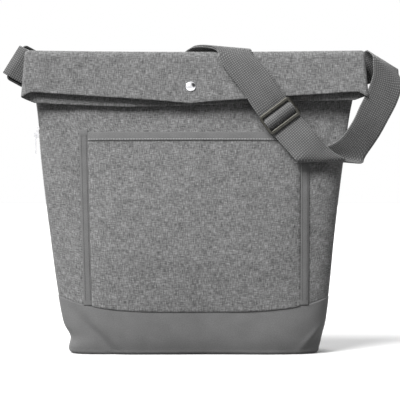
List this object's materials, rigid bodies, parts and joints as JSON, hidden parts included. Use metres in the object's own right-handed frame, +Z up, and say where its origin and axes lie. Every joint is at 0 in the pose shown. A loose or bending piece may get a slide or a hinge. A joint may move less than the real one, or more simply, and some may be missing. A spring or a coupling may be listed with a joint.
{
  "type": "fold-over shoulder tote bag",
  "caption": "Soft fabric tote whose open top folds forward and snaps, with a front patch pocket, a side zip, a boxed base and an adjustable shoulder strap.",
  "frame": {"origin": "middle of the base's underside, where the bag stands", "axes": "+X to the viewer's right across the bag, +Y to the back, +Z up"},
  "size_m": [0.483, 0.1133, 0.3705],
  "materials": {
    "heather_fabric": "two-tone slub weave",
    "base_fabric": "plain coated weave",
    "tape_fabric": "folded binding tape",
    "webbing": "ribbed flat webbing",
    "zip_tape": "woven zip tape with coil",
    "silver_metal": "polished",
    "black_metal": "black enamel",
    "gunmetal": "dark plated",
    "board_plastic": "stiffener sheet"
  },
  "bodies": {
    "bag": {"front_panel": "heather_fabric", "back_panel": "heather_fabric", "base_front_band": "base_fabric", "base_back_band": "base_fabric", "base_bottom": "base_fabric", "base_board": "board_plastic", "front_pocket": "heather_fabric", "pocket_top_binding": "tape_fabric", "pocket_left_tape": "tape_fabric", "pocket_right_tape": "tape_fabric", "zip_tape_front": "zip_tape", "zip_tape_back": "zip_tape", "zip_top_stop": "silver_metal", "zip_bottom_stop": "silver_metal", "inner_fold_band": "heather_fabric", "outer_fold_band": "heather_fabric", "left_tab": "webbing", "right_tab": "webbing", "strap_main": "webbing", "strap_return": "webbing"},
    "flap_front": {"flap_front_ply": "heather_fabric", "snap_stud": "silver_metal", "snap_post": "silver_metal"},
    "flap_back": {"flap_back_ply": "heather_fabric", "snap_cap": "silver_metal", "snap_socket": "silver_metal"},
    "zip_runner": {"zip_slider": "silver_metal"},
    "zip_handle": {"zip_pull": "silver_metal"},
    "left_loop": {"left_ring": "black_metal"},
    "right_loop": {"right_ring": "black_metal"},
    "strap_adjuster": {"strap_slider": "gunmetal"}
  },
  "joints": [
    {"name": "top_fold", "type": "hinge", "parent": "bag", "child": "flap_front", "pos_m": [0, -0.0065, 0.349], "axis": [-1, 0, 0], "range_deg": [0, 165], "deforming": ["inner_fold_band", "outer_fold_band", "strap_main", "strap_return"]},
    {"name": "mouth_open", "type": "hinge", "parent": "flap_front", "child": "flap_back", "pos_m": [0, -0.01701, 0.35124], "axis": [-1, 0, 0], "range_deg": [0, 15]},
    {"name": "zip_slide", "type": "slide", "parent": "bag", "child": "zip_runner", "axis": [0.1136, 0, -0.9935], "range_m": [0, 0.097]},
    {"name": "zip_pull_swing", "type": "hinge", "parent": "zip_runner", "child": "zip_handle", "pos_m": [-0.19292, 0, 0.26069], "axis": [0, 1, 0], "range_deg": [0, 150]},
    {"name": "left_ring_swing", "type": "hinge", "parent": "bag", "child": "left_loop", "pos_m": [-0.19934, 0.017, 0.33973], "axis": [-0.4789, 0, -0.8779], "range_deg": [0, 80]},
    {"name": "right_ring_swing", "type": "hinge", "parent": "bag", "child": "right_loop", "pos_m": [0.1701, 0.017, 0.3262], "axis": [-0.436, 0, 0.9], "range_deg": [0, 80]},
    {"name": "strap_adjust", "type": "slide", "parent": "flap_front", "child": "strap_adjuster", "axis": [0.629, -0.141, -0.7645], "range_m": [0, 0.022]}
  ]
}
